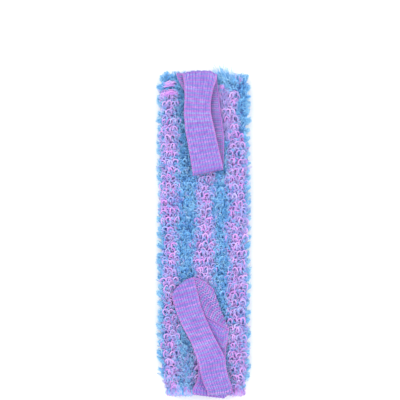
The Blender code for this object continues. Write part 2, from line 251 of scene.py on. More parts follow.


# Each yarn's material, its dark, middle and light shades, the painted shade colour it turns to towards its
# roots, its roughness and its sheen
YARNS = {
    "pink": (
        "pink_ribbon_yarn", (194, 146, 219), (203, 157, 224), (213, 170, 230), (198, 144, 224), 0.6, 0.0),
    "magenta": (
        "magenta_ribbon_yarn", (192, 128, 212), (206, 144, 220), (218, 160, 227), (184, 128, 220), 0.6, 0.0),
    "lilac": (
        "lilac_yarn", (156, 148, 226), (176, 168, 234), (202, 192, 242), (152, 146, 228), 0.5, 0.2),
    "haze": (
        "lilac_blue_yarn", (164, 156, 228), (182, 172, 234), (202, 192, 242), (164, 158, 230), 0.6, 0.2),
    "blue": (
        "sky_blue_yarn", (86, 158, 224), (118, 186, 236), (158, 212, 248), (98, 156, 228), 0.6, 0.3),
    "pale_blue": (
        "pale_blue_yarn", (122, 184, 238), (152, 204, 244), (186, 222, 250), (98, 156, 228), 0.6, 0.3),
    "deep_blue": (
        "deep_blue_yarn", (72, 130, 214), (92, 152, 224), (124, 178, 234), (84, 134, 220), 0.65, 0.3),
    "fringe_blue": (
        "fringe_blue_yarn", (96, 168, 226), (138, 200, 238), (186, 226, 248), (70, 136, 216), 0.6, 0.3),
    "strap_pink": (
        "strap_pink_yarn", (162, 102, 184), (182, 119, 197), (202, 148, 211), (98, 66, 164), 0.6, 0.15),
    "strap_blue": (
        "strap_blue_yarn", (114, 125, 186), (133, 146, 198), (160, 173, 213), (84, 72, 164), 0.6, 0.15),
    "ground": (
        "ground_knit", (108, 132, 214), (130, 154, 226), (150, 176, 236), (108, 132, 214), 0.8, 0.1),
    "thread": (
        "sewing_thread", (176, 132, 214), (190, 150, 224), (208, 176, 234), (176, 132, 214), 0.5, 0.1),
    # the strap's inner body, coloured dark so that it shows as painted shade in the holes between stitches
    "strap_core": (
        "strap_core_painted_shade", (96, 74, 168), (110, 86, 180), (126, 104, 194), (96, 74, 168), 0.8, 0.1),
}


# ---- meshes from strands

def add_mesh(name, vertices, faces, materials, face_material=None, tone=0.5, root_shade=0.0):
    """A smooth mesh object from numpy arrays. vertices are in millimetres and faces is a list of index
    arrays, each with its own number of corners. tone and the painted root shade are one number or one for
    each vertex."""
    mesh = bpy.data.meshes.new(name)
    mesh.vertices.add(len(vertices))
    mesh.vertices.foreach_set("co", (np.asarray(vertices) * MM).astype(np.float32).ravel())
    loops = np.concatenate([block.ravel() for block in faces])
    sizes = np.concatenate([np.full(len(block), block.shape[1]) for block in faces])
    mesh.loops.add(len(loops))
    mesh.loops.foreach_set("vertex_index", loops.astype(np.int32))
    mesh.polygons.add(len(sizes))
    mesh.polygons.foreach_set("loop_start", np.concatenate([[0], np.cumsum(sizes)[:-1]]).astype(np.int32))
    mesh.polygons.foreach_set("loop_total", sizes.astype(np.int32))
    mesh.update(calc_edges=True)
    mesh.polygons.foreach_set("use_smooth", np.ones(len(sizes), bool))
    for material in materials:
        mesh.materials.append(material)
    if face_material is not None:
        mesh.polygons.foreach_set("material_index", face_material.astype(np.int32))
    for key, values in (("tone", tone), ("painted_root_shade", root_shade)):
        attribute = mesh.attributes.new(key, "FLOAT", "POINT")
        attribute.data.foreach_set("value", np.broadcast_to(values, len(vertices)).astype(np.float32))
    mesh.update()
    piece = bpy.data.objects.new(name, mesh)
    bpy.context.scene.collection.objects.link(piece)
    return piece


def unit(vectors):
    return vectors / np.maximum(np.linalg.norm(vectors, axis=-1, keepdims=True), 1e-9)


def per_point(value, strands, points):
    """One number, one for each strand, or a whole table, as a table of strands by points."""
    value = np.asarray(value, float)
    if value.ndim == 1:
        value = value[:, None]
    return np.broadcast_to(value, (strands, points))


def strand_arrays(paths, facing, half_width, half_depth, sides):
    """Tubes around paths (strand, point, xyz). facing is roughly the direction of the tubes' depth."""
    tangent = unit(np.gradient(paths, axis=1))
    across = unit(np.cross(tangent, facing))
    depth = np.cross(across, tangent)
    strands, points = paths.shape[:2]
    width = per_point(half_width, strands, points)
    height = per_point(half_depth, strands, points)
    angles = TURN * (np.arange(sides) + 0.5) / sides
    ring = (
        paths[:, :, None, :]
        + across[:, :, None, :] * (width[:, :, None] * np.cos(angles))[..., None]
        + depth[:, :, None, :] * (height[:, :, None] * np.sin(angles))[..., None]
    )
    index = np.arange(strands * points * sides).reshape(strands, points, sides)
    after = np.roll(index, -1, axis=2)
    walls = np.stack([index[:, :-1], index[:, 1:], after[:, 1:], after[:, :-1]], axis=-1).reshape(-1, 4)
    start = index[:, 0]
    stop = index[:, -1, ::-1]
    return ring.reshape(-1, 3), walls, np.concatenate([start, stop])


class Strands:
    """Collects tubes, with their tone, their painted root shade and a material each, into one piece."""

    def __init__(self, name, *yarns):
        self.name = name
        self.materials = [MATERIALS[yarn] for yarn in yarns]
        self.vertices, self.walls, self.caps = [], [], []
        self.wall_material, self.cap_material = [], []
        self.tone, self.root_shade = [], []
        self.count = 0

    def add(self, paths, facing, half_width, half_depth, tone, root_shade=0.0, sides=4, material=0):
        """Adds a tube along each path. material is the place of its yarn in the piece's list."""
        strands, points = paths.shape[:2]
        vertices, walls, caps = strand_arrays(paths, facing, half_width, half_depth, sides)
        self.vertices.append(vertices)
        self.walls.append(walls + self.count)
        self.caps.append(caps + self.count)
        self.count += len(vertices)
        material = np.broadcast_to(np.asarray(material), (strands,))
        self.wall_material.append(np.repeat(material, (points - 1) * sides))
        self.cap_material.append(np.concatenate([material, material]))
        self.tone.append(np.repeat(per_point(tone, strands, points), sides, axis=1).ravel())
        self.root_shade.append(np.repeat(per_point(root_shade, strands, points), sides, axis=1).ravel())

    def build(self):
        return add_mesh(
            self.name, np.concatenate(self.vertices), [np.concatenate(self.walls), *self.caps],
            self.materials, np.concatenate(self.wall_material + self.cap_material),
            np.concatenate(self.tone), np.concatenate(self.root_shade))


# ---- pile

def loop_paths(rng, base, up, lean, length, width, tilt, roll, gap, points):
    """Yarn loops. Each starts at base, rises along up and falls over towards lean, with its two feet
    gap apart, and opens into a teardrop width across. All arguments are arrays with a row for each loop;
    tilt holds its first and last angle from up."""
    count = len(base)
    t = np.linspace(0.0, 1.0, points)[None, :]
    along = (1 - np.cos(TURN * t)) / 2 * np.ones((count, 1))
    first = tilt[:, :1]
    turn = tilt[:, 1:] - first
    angle = first + turn * along
    reach_lean = length[:, None] * (np.cos(first) - np.cos(angle)) / turn
    reach_up = length[:, None] * (np.sin(angle) - np.sin(first)) / turn
    swing = np.sin(TURN * t) * np.sin(math.pi * t) ** 0.9 * 0.62
    lateral = width[:, None] * swing + gap[:, None] * (0.5 - t)
    side = np.cross(up, lean)
    normal = (
        up[:, None, :] * np.sin(angle)[..., None] - lean[:, None, :] * np.cos(angle)[..., None]
    )
    spread = side[:, None, :] * np.cos(roll)[:, None, None] + normal * np.sin(roll)[:, None, None]
    paths = (
        base[:, None, :]
        + lean[:, None, :] * reach_lean[..., None]
        + up[:, None, :] * reach_up[..., None]
        + spread * lateral[..., None]
    )
    phase = rng.uniform(0, TURN, (count, 1, 3))
    waves = np.sin(TURN * t[..., None] * 2.3 + phase) * np.sin(math.pi * t)[..., None]
    paths = paths + waves * (length * 0.03)[:, None, None]
    # painted shade: full at each loop's feet and fading out a little way up it, for the shade deep in the
    # pile
    root_shade = np.clip(1 - along * 1.9, 0, 1) ** 1.2
    facing = normal * np.cos(roll)[:, None, None] - side[:, None, :] * np.sin(roll)[:, None, None]
    return paths, facing, root_shade


BACK_THINNING = 1.45         # fine loops stand this much further apart on the back
BARE_ROWS = 2                # rows at the top that have no rings
FUZZ_MARGIN = 7.0            # feet of fine loops and of rings keep this far inside the outline
RING_MARGIN = 10.0
# the foot of the left blue column is more lilac, and its paler yarn is also painted light that lifts the
# shade the bottom handle casts there
PALER_ROWS = 9               # rows at the foot of the left blue column with more lilac in them
LOBE_LOOPS = 60              # loops in each lobe of a fringe

EDGES = [COLUMN_SPANS[column][0] for column in COLUMNS] + [COLUMN_SPANS[COLUMNS[-1]][1]]


def column_edge(index, row):
    """Where the edge between two columns lies in each row. It wanders from row to row, and the middle
    column is narrow for some rows above the middle of the strip."""
    wander = 1.5 * np.sin(row * 0.83 + index * 2.1) + 1.1 * np.sin(row * 2.3 + index * 4.4)
    narrow = np.exp(-(((row - 22.6) / 2.7) ** 2))
    return EDGES[index] + wander + narrow * {2: 4.5, 3: -3.0}.get(index, 0.0)


def ring_span(index, row):
    """The stretch of a row that a column's rings take. They leave a blue band beside the lower half of
    the left fringe and beside the right one, and at the top right they run inward, away from the
    column's edges."""
    inward = np.clip((row - 28.5) / 4.0, 0, 1)
    left_band = 3.2 * np.clip((23.0 - row) / 4.0, 0, 1)
    shift = {0: -left_band, 4: 15.0 * inward, 5: 1.8 + 12.0 * inward}
    return [column_edge(i, row) - shift.get(i, 0.0) for i in (index, index + 1)]


def row_wave(row, x):
    """The slow waviness of the rows, in millimetres."""
    return 1.1 * np.sin(x / 23.0 + row * 0.4 + 0.6) + 0.5 * np.sin(x / 9.0 - row * 1.7)


def row_bases(rng, column, rows, pitch, row_shift, jitter, overhang=0.0, rings=False):
    """Loop feet along a column's rows, pitch apart: their x, y and row. Rows are staggered."""
    index = COLUMNS.index(column)
    x, row = [], []
    for number in rows:
        low = column_edge(index, number) - overhang
        high = column_edge(index + 1, number) + overhang
        if rings:
            low, high = ring_span(index, number)
        count = max(int(round((high - low) / pitch)), 2)
        steps = (np.arange(count) + (0.32 if number % 2 else 0.68)) / count
        x.append(low + (high - low) * steps)
        row.append(np.full(count, float(number)))
    x, row = np.concatenate(x), np.concatenate(row)
    x = x + rng.normal(0, jitter, len(x))
    y = -HALF_LENGTH + (row + row_shift) * ROW_PITCH + row_wave(row, x) + rng.normal(0, jitter * 0.5, len(x))
    return x, y, row


def fit_in_outline(x, y, margin):
    """Pulls points that lie past the rounded corners back inside the strip's outline."""
    left, right = (HALF_WIDTH - margin - corner_inset(y, side) for side in (-1, 1))
    return np.clip(x, -left, right)


def face_bases(x, y, front):
    """Base points on the sleeve's front or back, with their outward direction."""
    z = SLEEVE_TOP - 0.2 if front else SLEEVE_BOTTOM + 0.2
    base = np.stack([x, y, np.full_like(x, z)], axis=1)
    up = np.zeros_like(base)
    up[:, 2] = 1.0 if front else -1.0
    return base, up


def lean_directions(rng, count, spread):
    """Mostly towards +Y, fanned out by spread in radians."""
    angle = rng.normal(0, spread, count)
    return np.stack([np.sin(angle), np.cos(angle), np.zeros(count)], axis=1)


def tones(rng, count, mean, spread):
    """A shade for each strand, from 0, dark, to 1, light."""
    return np.clip(rng.normal(mean, spread, count), 0, 1)


def limit_height(paths, front, share=1.0, floor_gap=0.65):
    """Keeps the pile inside its height: loops flatten smoothly as they near the top of the pile."""
    reach = (PILE_HEIGHT + SLEEVE_TOP - SLEEVE_MIDDLE) * share - (0.0 if front else floor_gap)
    rise = np.abs(paths[..., 2] - SLEEVE_MIDDLE)
    soft = reach * 0.72
    over = np.maximum(rise - soft, 0.0)
    squeezed = np.minimum(rise, soft) + (reach - soft) * (1 - np.exp(-over / (reach - soft)))
    paths[..., 2] = SLEEVE_MIDDLE + squeezed * (1.0 if front else -1.0)
    return paths


def tilts(rng, count, first, last, spread):
    """Each loop's first and last angle from up, in radians. The arguments are in degrees."""
    tilt = np.radians(np.stack([rng.normal(first, spread, count), rng.normal(last, spread, count)], axis=1))
    tilt[:, 1] = np.maximum(tilt[:, 1], tilt[:, 0] + 0.2)
    return tilt


def add_fuzz(rng, pile, column, rows, front, pitch, layers, height, shares, overhang, plump, beyond):
    """Fine springy loops that stand in every direction and hide the ground: layers of them in each row.
    shares gives each yarn's part of them. Past the column's rings they take the yarn called beyond, and
    in the top rows the first one."""
    index = COLUMNS.index(column)
    pitch = pitch * (1.0 if front else BACK_THINNING)
    for layer in range(layers):
        shift = (layer + 0.5) / layers
        x, y, row = row_bases(rng, column, rows, pitch, shift, 0.7, overhang)
        y = y + rng.uniform(-0.5, 0.5, len(y)) * ROW_PITCH / layers
        x = fit_in_outline(x, y, FUZZ_MARGIN)
        base, up = face_bases(x, y, front)
        count = len(base)
        length = height * 1.25 * rng.uniform(0.7, 1.15, count)
        paths, facing, root_shade = loop_paths(
            rng, base, up, lean_directions(rng, count, 0.75), length, rng.uniform(1.6, 4.2, count),
            tilts(rng, count, 6, 66, 18), rng.uniform(-1.5, 1.5, count), rng.uniform(0.3, 1.2, count), 9)
        paths = limit_height(paths, front, (height + SLEEVE_HALF) / (PILE_HEIGHT + SLEEVE_HALF))
        tone = tones(rng, count, 0.55, 0.20)
        material = rng.choice(list(shares), count, p=list(shares.values()))
        low, high = ring_span(index, row)
        past = (x < low - 1.0) | (x > high + 1.0)
        material = np.where(past, beyond, material)
        material = np.where(row >= ROWS - BARE_ROWS, 0, material)
        half = rng.uniform(0.26, 0.40, count) * plump
        pile.add(paths, facing, half, half * 0.85, tone, root_shade * 0.25, 3, material)


def add_rings(rng, pile, column, rows, front, pitch, row_shift, size, keep, shares, top=1.0):
    """Big open loops that lie over towards +Y, so that each shows as a ring. keep is the part of them
    that is there, shares gives each yarn's part, and top is how much of the pile's height they reach."""
    x, y, row = row_bases(rng, column, rows, pitch, row_shift, 0.55, rings=True)
    kept = (rng.random(len(x)) < keep) & (row < ROWS - BARE_ROWS)
    x, y = x[kept], y[kept]
    x = fit_in_outline(x, y, RING_MARGIN)
    base, up = face_bases(x, y, front)
    count = len(base)
    paths, facing, root_shade = loop_paths(
        rng, base, up, lean_directions(rng, count, 0.22), size * 1.95 * rng.uniform(0.86, 1.12, count),
        size * rng.uniform(0.86, 1.14, count), tilts(rng, count, 22, 92, 6),
        rng.normal(0, 0.22, count), rng.uniform(0.8, 1.6, count), 17)
    paths = limit_height(paths, front, top)
    tone = tones(rng, count, 0.5, 0.20)
    material = rng.choice(list(shares), count, p=list(shares.values()))
    half = size * 0.150 * rng.uniform(0.85, 1.15, count)
    pile.add(paths, facing, half, half * 0.5, tone, root_shade * 0.5, 5, material)


def pink_pile(name, column, rows, front, seed):
    """Big open rings in rows, over a bed of fine blue and lilac loops."""
    rng = np.random.default_rng(seed)
    pile = Strands(name, "blue", "haze", "lilac", "pink", "magenta")
    place = (rng, pile, column, rows, front)
    add_fuzz(
        *place, pitch=1.10, layers=2, height=7.6, shares={0: 0.22, 1: 0.66, 3: 0.12},
        overhang=0.2, plump=1.4, beyond=0)
    add_rings(
        *place, pitch=6.2, row_shift=0.62, size=5.2, keep=0.85, shares={2: 0.3, 3: 0.30, 4: 0.40}, top=0.94)
    add_rings(*place, pitch=5.2, row_shift=0.12, size=6.0, keep=0.98, shares={2: 0.12, 3: 0.56, 4: 0.32})
    return pile.build()


def blue_pile(name, column, rows, front, seed):
    """Dense, fine, springy loops, with a few broad ones, and lilac ones where pink rings lean in."""
    rng = np.random.default_rng(seed)
    pile = Strands(name, "blue", "deep_blue", "lilac", "pale_blue")
    # painted light: paler yarn in these rows lifts the shade the bottom handle casts, besides their more
    # lilac colour
    paler = [row for row in rows if column == "blue_left" and row < PALER_ROWS]
    plain = [row for row in rows if row not in paler]
    for part, shares in (
        (plain, {0: 0.62, 1: 0.16, 2: 0.02, 3: 0.20}),
        (paler, {0: 0.38, 1: 0.02, 2: 0.30, 3: 0.30}),
    ):
        if part:
            add_fuzz(
                rng, pile, column, part, front, pitch=0.95, layers=3, height=8.6, shares=shares,
                overhang=1.4, plump=1.1, beyond=2)
    add_rings(
        rng, pile, column, rows, front, pitch=6.0, row_shift=0.35, size=5.6, keep=0.3,
        shares={0: 0.5, 3: 0.38, 2: 0.12})
    return pile.build()


def fringe(name, side, rows, seed):
    """Edge loops of each row, gathered into a soft lobe that points outward and a little up the strip.
    The lobes are more pointed towards the bottom of the left side."""
    rng = np.random.default_rng(seed)
    sign = -1.0 if side == "left" else 1.0
    pile = Strands(name, "fringe_blue", "blue")
    inner = abs(EDGES[0]) if side == "left" else EDGES[-1]
    row = np.repeat(np.asarray(rows, float), LOBE_LOOPS)
    count = len(row)
    # How pointed each lobe is, up to 1
    spiky = np.clip((14 - row) / 12, 0.3, 1) if side == "left" else np.full(count, 0.4)
    reach = np.repeat(rng.uniform(0.84, 1.08, len(rows)), LOBE_LOOPS)
    turn = np.repeat(rng.normal(0.30, 0.14, len(rows)), LOBE_LOOPS) + 0.35 * spiky
    across = rng.uniform(-0.5, 0.5, count)
    y = -HALF_LENGTH + (row + 0.36 + across * (0.88 - 0.42 * spiky)) * ROW_PITCH
    inset = corner_inset(y, sign)
    x = sign * (inner - 4.6 - inset + rng.uniform(-2.0, 1.6, count))
    z = SLEEVE_MIDDLE + rng.uniform(-4.4, 5.4, count)
    base = np.stack([x, y, z], axis=1)
    heading = turn - across * (0.25 + 0.2 * spiky) + rng.normal(0, 0.16 - 0.09 * spiky, count)
    lean = unit(np.stack([sign * np.cos(heading), np.sin(heading), rng.normal(0.02, 0.12, count)], axis=1))
    up = unit(np.cross(lean, np.cross(UPWARD, lean)))
    room = (HALF_WIDTH - 0.4 - inset - np.abs(x)) / np.maximum(np.cos(heading), 0.75)
    taper = 1.0 - (0.64 + 0.10 * spiky) * (np.abs(across) / 0.5) ** (2.2 - 0.8 * spiky)
    length = np.maximum(room * reach * taper * rng.uniform(0.82, 1.0, count), 3.0)
    tilt = tilts(rng, count, 80, 98, 6)
    paths, facing, root_shade = loop_paths(
        rng, base, up, lean, length, rng.uniform(1.4, 3.6 - 1.2 * spiky, count), tilt,
        rng.uniform(-1.5, 1.5, count), rng.uniform(0.4, 1.4, count), 9)
    paths[..., 2] = np.clip(paths[..., 2], LOWEST_YARN, FRINGE_TOP)
    tone = tones(rng, count, 0.6, 0.24)
    material = (rng.random(count) < 0.16).astype(int)
    half = rng.uniform(0.22, 0.34, count)
    pile.add(paths, facing, half, half * 0.8, tone, root_shade, 3, material)
    return pile.build()


# ---- knitted straps

def smooth_rows(rows, sigma):
    """A Gaussian blur down the rows that holds the first and last ones in place."""
    reach = int(math.ceil(sigma * 3))
    head = 2 * rows[:1] - rows[1:reach + 1][::-1]
    tail = 2 * rows[-1:] - rows[-reach - 1:-1][::-1]
    padded = np.concatenate([head, rows, tail])
    weights = np.exp(-0.5 * (np.arange(-reach, reach + 1) / sigma) ** 2)
    weights /= weights.sum()
    return np.stack([np.convolve(padded[:, i], weights, mode="valid") for i in range(rows.shape[1])], axis=1)


class Fold:
    """A flat fold of a strap, seen from above: a line from start to stop that bulges outward by bulge in
    its middle. The strap goes round it, down by two radii, and comes back on the other side."""

    def __init__(self, start, stop, bulge, radius, outward):
        self.start = np.asarray(start, float)
        along = np.asarray(stop, float) - self.start
        self.length = np.linalg.norm(along)
        self.along = along / self.length
        normal = np.array([-self.along[1], self.along[0]])
        self.normal = normal if normal @ np.asarray(outward, float) > 0 else -normal
        self.bulge, self.radius = bulge, radius

    def distance(self, points):
        """How far points are past the fold line."""
        offset = points[..., :2] - self.start
        share = np.clip((offset @ self.along) / self.length, 0.0, 1.0)
        return offset @ self.normal - self.bulge * (1 - np.abs(2 * share - 1) ** 3)

    def moved(self, points, distance, wanted, fall):
        points = points.copy()
        points[..., :2] += (wanted - distance)[..., None] * self.normal
        points[..., 2] -= fall
        return points

    def undo(self, points):
        """Where points of the folded-under part lie before the fold is made."""
        distance = self.distance(points)
        return self.moved(points, distance, (math.pi - 2) * self.radius - distance, -2 * self.radius)

    def apply(self, points, allowed):
        """Folds the points that lie past the line, and says which ones went under."""
        distance = self.distance(points)
        past = np.clip(distance + self.radius, 0.0, math.pi * self.radius)
        turn = past / self.radius
        wanted = -self.radius + self.radius * np.sin(turn)
        beyond = distance + self.radius - past
        wanted = np.where(beyond > 0, wanted - beyond, np.where(beyond < 0, distance, wanted))
        fall = self.radius * (1 - np.cos(turn))
        folded = self.moved(points, distance, wanted, fall)
        return np.where(allowed[..., None], folded, points), allowed & (beyond > 0)


class StrapSurface:
    """The middle surface of a strap. lines run across it, each from its left end to its right end as one
    travels along the strap with its outer face up. gather is a pleated stretch: its centre and reach
    along the strap, its depth and its number of pleats. arch is a stretch moved along Y: its centre and
    reach, and its move at each share across. crown is how far the strap's middle stands up."""

    STEP = 0.8               # spacing of the points that the surface is kept at, along the strap
    ACROSS = 41

    def __init__(self, lines, softness=1.4, crown=0.3, gather=None, arch=None, folds=()):
        lines = np.array([line_ends(*line) for line in lines])
        gaps = np.linalg.norm(np.diff(lines, axis=0), axis=2).mean(axis=1)
        along = np.concatenate([[0.0], np.cumsum(gaps)])
        self.length = along[-1]
        count = int(self.length / self.STEP) + 1
        self.along = np.linspace(0.0, self.length, count)
        flat = lines.reshape(len(lines), 6)
        rough = np.stack([np.interp(self.along, along, flat[:, i]) for i in range(6)], axis=1)
        sides = smooth_rows(rough, softness / self.STEP).reshape(count, 2, 3)
        u = np.linspace(0.0, 1.0, self.ACROSS)
        grid = sides[:, 0, None, :] * (1 - u[None, :, None]) + sides[:, 1, None, :] * u[None, :, None]
        if arch is not None:
            centre, reach, drop = arch
            near = np.exp(-(((self.along - centre) / reach) ** 4))
            grid[:, :, 1] += near[:, None] * drop(u)[None, :]
        allowed = np.ones(grid.shape[:2], bool)
        for fold in folds:
            grid, allowed = fold.apply(grid, allowed)
        lift = crown * (1 - np.abs(2 * u - 1)[None, :] ** 4) * np.ones((count, 1))
        lift = lift + 0.45 * np.sin(self.along / 13.0)[:, None] * np.cos(2.6 * u)[None, :]
        if gather is not None:
            centre, reach, depth, pleats = gather
            near = np.exp(-(((self.along - centre) / reach) ** 2))
            lift = lift + depth * near[:, None] * np.sin(TURN * pleats * u + 0.6)[None, :]
        self.grid = grid + self.normals(grid) * lift[..., None]
        self.normal = self.normals(self.grid)

    @staticmethod
    def normals(grid):
        return unit(np.cross(np.gradient(grid, axis=1), np.gradient(grid, axis=0)))

    def at(self, u, v, height):
        """Points at shares u across and v along, height above the surface, and the normals there."""
        rows = np.clip(v, 0, 1) * (len(self.grid) - 1)
        columns = np.clip(u, 0, 1) * (self.ACROSS - 1)
        r = np.minimum(rows.astype(int), len(self.grid) - 2)
        c = np.minimum(columns.astype(int), self.ACROSS - 2)
        fr, fc = (rows - r)[..., None], (columns - c)[..., None]
        mix = []
        for field in (self.grid, self.normal):
            top = field[r, c] * (1 - fc) + field[r, c + 1] * fc
            bottom = field[r + 1, c] * (1 - fc) + field[r + 1, c + 1] * fc
            mix.append(top * (1 - fr) + bottom * fr)
        normal = unit(mix[1])
        return mix[0] + normal * height[..., None], normal


STITCH_SAMPLES = 8           # points in each stitch's loop,
BUMP_SAMPLES = 6             # and in each bump on the inner side
YARN_RADIUS = 0.56


def knit_yarns(name, surfaces, stitches, pitch, seed):
    """Plain knit over strap surfaces: one looping yarn for each course, in two alternating colours, whose
    bumps show as waves on the inner side, and a chain of tight loops down each edge."""
    rng = np.random.default_rng(seed)
    yarns = Strands(name, "strap_pink", "strap_blue")
    for surface in surfaces:
        courses = max(int(round(surface.length / pitch)), 1)
        course = np.arange(courses)[:, None]
        colour = course[:, 0] % 2

        t = np.linspace(0.0, stitches, stitches * STITCH_SAMPLES + 1)[None, :]
        lean = 0.13 * np.sin(2 * TURN * t) + 0.05 * np.sin(TURN * t)
        u = 0.015 + 0.97 * (t + lean) / stitches + 0 * course
        uneven = 0.09 * np.sin(t * 1.7 + rng.uniform(0, 6.28, (courses, 1)))
        v = (course + 0.5 + 0.66 * np.cos(TURN * t) + uneven) / courses
        height = -0.46 * np.cos(2 * TURN * t) + 0.22 * np.sin(TURN * t)
        height = height + rng.normal(0, 0.05, (courses, 1))
        paths, normal = surface.at(u, v, height)
        own = rng.normal(0.5, 0.14, (courses, 1)) + rng.normal(0, 0.17, (courses, stitches + 1))
        own = np.clip(own, 0, 1)
        # painted shade at the foot of each stitch, where the holes between stitches fall dark
        root_shade = np.clip(np.cos(2 * TURN * t), 0, 1) ** 1.5 * 0.95
        tone = own[:, np.round(t[0]).astype(int)]
        yarns.add(paths, normal, YARN_RADIUS, YARN_RADIUS * 0.8, tone, root_shade, 5, colour)

        t = np.linspace(0.0, stitches, stitches * BUMP_SAMPLES + 1)[None, :]
        u = 0.04 + 0.92 * t / stitches + 0 * course
        v = (course + 0.5 + 0.24 * np.cos(TURN * t)) / courses
        bumps, normal = surface.at(u, v, -0.62 - 0.2 * np.cos(2 * TURN * t) + 0 * course)
        tone = own[:, np.round(t[0]).astype(int)] + 0.06
        yarns.add(bumps, normal, 0.62, 0.42, tone, material=colour)

        knots = np.linspace(0.0, 1.0, courses * 4 + 1)[None, :]
        beat = TURN * knots * courses
        for side, outward in ((0.012, -1), (0.988, 1)):
            edge_u = side + outward * 0.010 * np.sin(beat)
            path, facing = surface.at(edge_u, knots, 0.3 * np.cos(beat))
            swell = 0.62 + 0.2 * np.cos(beat + 1.0)
            yarns.add(path, facing, swell, swell, 0.5, sides=5)
    return yarns.build()


def strap_cloth(name, surfaces, thickness=0.4):
    """The strap's inner body between its yarn faces: a thin closed sheet for each surface. Its dark colour
    shows through the holes between stitches as painted shade.
    """
    vertices, faces, count = [], [], 0
    for surface in surfaces:
        grid = surface.grid[::2, ::2]
        normal = surface.normal[::2, ::2]
        rows, columns = grid.shape[:2]
        vertices += [(grid + normal * side).reshape(-1, 3) for side in (thickness / 2, -thickness / 2)]
        index = np.arange(rows * columns).reshape(rows, columns)
        below = index + rows * columns
        upper = np.stack([index[:-1, :-1], index[:-1, 1:], index[1:, 1:], index[1:, :-1]], axis=-1)
        under = np.stack([below[:-1, :-1], below[1:, :-1], below[1:, 1:], below[:-1, 1:]], axis=-1)
        rim = np.concatenate([index[0, :], index[1:, -1], index[-1, -2::-1], index[-2:0:-1, 0]])
        after = np.roll(rim, -1)
        walls = np.stack([rim, rim + rows * columns, after + rows * columns, after], axis=-1)
        faces.append(np.concatenate([upper.reshape(-1, 4), under.reshape(-1, 4), walls]) + count)
        count += 2 * rows * columns
    return add_mesh(name, np.concatenate(vertices), faces, [MATERIALS["strap_core"]])


TAB_OUTER = SEAM_Y + 1.5
TAB_INNER = SEAM_Y - 1.4
UP, LOW = UPPER_LEG_Z, LOWER_LEG_Z
END_STEPS = 8                # steps in the half turn at the top handle's end


def line_ends(left_x, left_y, right_x, right_y, left_z, right_z=None):
    """A strap line's two ends. They are equally high unless the right one has its own height."""
    return (left_x, left_y, left_z), (right_x, right_y, left_z if right_z is None else right_z)


# Each line across a strap has its left end's x and y, its right end's x and y, and its height.
# The top handle, travelled from the middle of its tab over the seam's top, along the upper leg, round
# its end and back under
TOP_LEGS = [
    (16.4, TAB_OUTER, -27.0, TAB_OUTER, TAB_SPLIT_Z),
    (16.4, TAB_OUTER, -27.0, TAB_OUTER, 26.0),
    (16.2, 206.4, -26.6, 206.0, 29.6),
    (15.6, 201.5, -25.8, 201.0, 31.2),
    (13.6, 192.0, -24.8, 194.0, UP),
    (10.8, 179.5, -24.2, 183.0, UP),
    (8.6, 167.0, -24.0, 170.5, UP),
    (9.0, 154.0, -25.2, 154.5, UP),
    (13.4, 134.0, -22.9, 129.5, UP),
    (17.6, 115.0, -18.9, 109.0, UP),
    (24.2, 87.0, -14.2, 80.0, UP),
]
END_RADIUS = (UP - LOW) / 2
for step in range(1, END_STEPS):
    angle = math.pi * step / END_STEPS
    dip, rise = END_RADIUS * math.sin(angle), FOLD_Z + END_RADIUS * math.cos(angle)
    TOP_LEGS.append((24.4, 86.4 - dip, -13.8, 79.6 - dip, rise))
TOP_LEGS += [
    (24.6, 87.0, -13.8, 80.4, LOW),
    (25.8, 106.0, -12.6, 102.0, LOW),
    (25.8, 125.0, -12.6, 121.0, LOW),
    (21.4, 154.0, -16.0, 154.0, LOW),
    (19.6, 172.0, -19.6, 172.0, LOW),
    (18.4, 183.0, -25.2, 183.5, LOW),
    (17.2, 193.0, -30.6, 193.3, 24.4),
    (16.4, 201.0, -33.8, 200.5, 26.2),
    (16.2, TAB_INNER, -34.4, 203.4, 24.0),
    (16.2, TAB_INNER, -34.4, TAB_INNER, TAB_SPLIT_Z),
]

# The bottom handle: its front leg leans up to the left, folds under along a slanting line, crosses
# down to the right below itself, folds under again and comes back to the seam as the back leg
FIRST_FOLD = Fold((-12.2, -55.2), (-40.8, -79.5), 4.6, 1.15, (-1, 1))
SECOND_FOLD = Fold((13.0, -70.4), (32.2, -121.0), -1.2, 1.05, (1, 0))
BOTTOM_FRONT_LEG = [
    (5.0, -TAB_OUTER, 37.4, -TAB_OUTER, TAB_SPLIT_Z),
    (5.2, -TAB_OUTER, 37.0, -TAB_OUTER, 26.0),
    (5.4, -206.0, 36.0, -203.6, 29.6),
    (4.2, -201.6, 34.8, -196.0, 31.2, 31.4),
    (2.0, -195.0, 33.0, -188.0, UP),
    (-1.2, -185.0, 30.6, -178.4, UP),
    (-4.4, -174.6, 28.0, -168.0, UP),
    (-6.0, -165.0, 27.4, -157.0, UP - 0.2),
    (-8.8, -156.0, 23.0, -148.2, UP - 0.6),
    (-15.4, -138.4, 13.6, -131.0, UP - 1.8),
    (-27.6, -115.8, 2.6, -107.8, 28.4),
    (-34.2, -99.8, -3.6, -91.6, 27.4),
    (-40.4, -77.6, -9.0, -69.6, 26.6),
]
BOTTOM_CROSSING = [
    (-32.0, -82.8, -13.6, -54.0, 24.2, 24.4),
    (-19.4, -90.8, -0.6, -59.2, 24.6),
    (-5.9, -99.2, 12.6, -70.0, 25.3, 24.9),
    (6.6, -107.2, 25.2, -79.6, 25.5, 25.2),
    (19.2, -114.6, 37.6, -86.6, 25.5, 25.4),
    (27.6, -119.4, 46.0, -91.4, 25.4),
]
